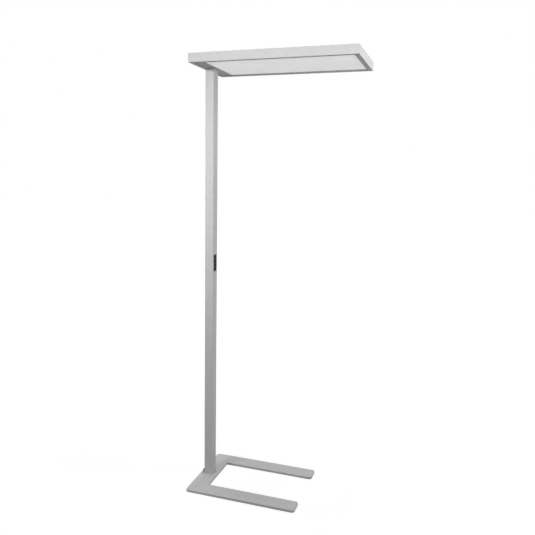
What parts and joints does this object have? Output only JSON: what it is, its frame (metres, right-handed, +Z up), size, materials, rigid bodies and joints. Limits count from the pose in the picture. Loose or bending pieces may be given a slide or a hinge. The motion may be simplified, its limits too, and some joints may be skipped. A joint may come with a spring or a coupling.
{
  "type": "office floor lamp",
  "caption": "Tall floor lamp with a flat rectangular light head on a slim box-section pole, a push-button keypad in the pole and a U-shaped flat steel base.",
  "frame": {"origin": "on the floor, under the pole's axis, at the foot pad's face", "axes": "+Z up along the pole, +X the way the light head and the base's legs reach, +Y across the head to the left"},
  "size_m": [0.725, 0.385, 1.95],
  "materials": {
    "base_steel": "fine-textured silver-grey powder coat on 10 mm steel plate",
    "pole_aluminium": "extruded, silver-grey powder coat",
    "head_aluminium": "extruded rails, silver-grey powder coat",
    "sheet_aluminium": "folded or cut sheet, silver-grey powder coat",
    "white_sheet": "sheet with white reflecting paint",
    "opal_plastic": "opal diffuser sheet",
    "clear_plastic": "prismatic clear sheet",
    "keypad_plastic": "moulded, fine spark texture, dark grey",
    "button_plastic": "moulded, satin black",
    "plunger_plastic": "moulded, natural",
    "gland_plastic": "moulded polyamide, black",
    "pad_rubber": "felted rubber pad",
    "grommet_rubber": "soft black rubber",
    "circuit_board": "solder-masked board",
    "white_board": "white solder-masked board with light chips",
    "white_plastic": "moulded, white",
    "wire_jacket": "soft lead jacket, light grey",
    "zinc_steel": "zinc plated",
    "dark_steel": "blackened socket screws",
    "key_zinc": "die-cast corner keys",
    "brass": "plain brass"
  },
  "bodies": {
    "lamp": {"base_plate": "base_steel", "floor_pads": "pad_rubber", "base_screws": "dark_steel", "pole_tube": "pole_aluminium", "cable_gland": "gland_plastic", "gland_nut": "gland_plastic", "keypad_housing": "keypad_plastic", "keypad_board": "circuit_board", "tact_switches": "gland_plastic", "keypad_screws": "zinc_steel", "keypad_connector": "white_plastic", "control_lead": "wire_jacket", "right_side_rail": "head_aluminium", "left_side_rail": "head_aluminium", "pole_end_rail": "head_aluminium", "outer_end_rail": "head_aluminium", "corner_keys": "key_zinc", "corner_screws": "dark_steel", "mount_plate": "sheet_aluminium", "mount_plate_screws": "zinc_steel", "pole_head_screws": "zinc_steel", "cable_grommet": "grommet_rubber", "bay_cover": "sheet_aluminium", "bay_cover_screws": "zinc_steel", "bay_divider": "sheet_aluminium", "led_tray": "white_sheet", "tray_screws": "zinc_steel", "down_led_boards": "white_board", "up_led_boards": "white_board", "led_leads": "wire_jacket", "diffuser": "opal_plastic", "top_cover": "sheet_aluminium", "top_cover_screws": "zinc_steel", "uplight_window": "clear_plastic", "led_driver": "white_plastic", "driver_screws": "zinc_steel", "driver_lead": "wire_jacket", "terminal_block": "white_plastic", "terminal_screws": "zinc_steel", "earth_screw": "brass"},
    "push_button_1": {"button_1": "button_plastic", "switch_plunger_1": "plunger_plastic"},
    "push_button_2": {"button_2": "button_plastic", "switch_plunger_2": "plunger_plastic"},
    "push_button_3": {"button_3": "button_plastic", "switch_plunger_3": "plunger_plastic"},
    "push_button_4": {"button_4": "button_plastic", "switch_plunger_4": "plunger_plastic"}
  },
  "joints": [
    {"name": "press_1", "type": "slide", "parent": "lamp", "child": "push_button_1", "axis": [-1, 0, 0], "range_m": [0, 0.0008], "stiffness_N_per_m": 2500},
    {"name": "press_2", "type": "slide", "parent": "lamp", "child": "push_button_2", "axis": [-1, 0, 0], "range_m": [0, 0.0008], "stiffness_N_per_m": 2500},
    {"name": "press_3", "type": "slide", "parent": "lamp", "child": "push_button_3", "axis": [-1, 0, 0], "range_m": [0, 0.0008], "stiffness_N_per_m": 2500},
    {"name": "press_4", "type": "slide", "parent": "lamp", "child": "push_button_4", "axis": [-1, 0, 0], "range_m": [0, 0.0008], "stiffness_N_per_m": 2500}
  ]
}
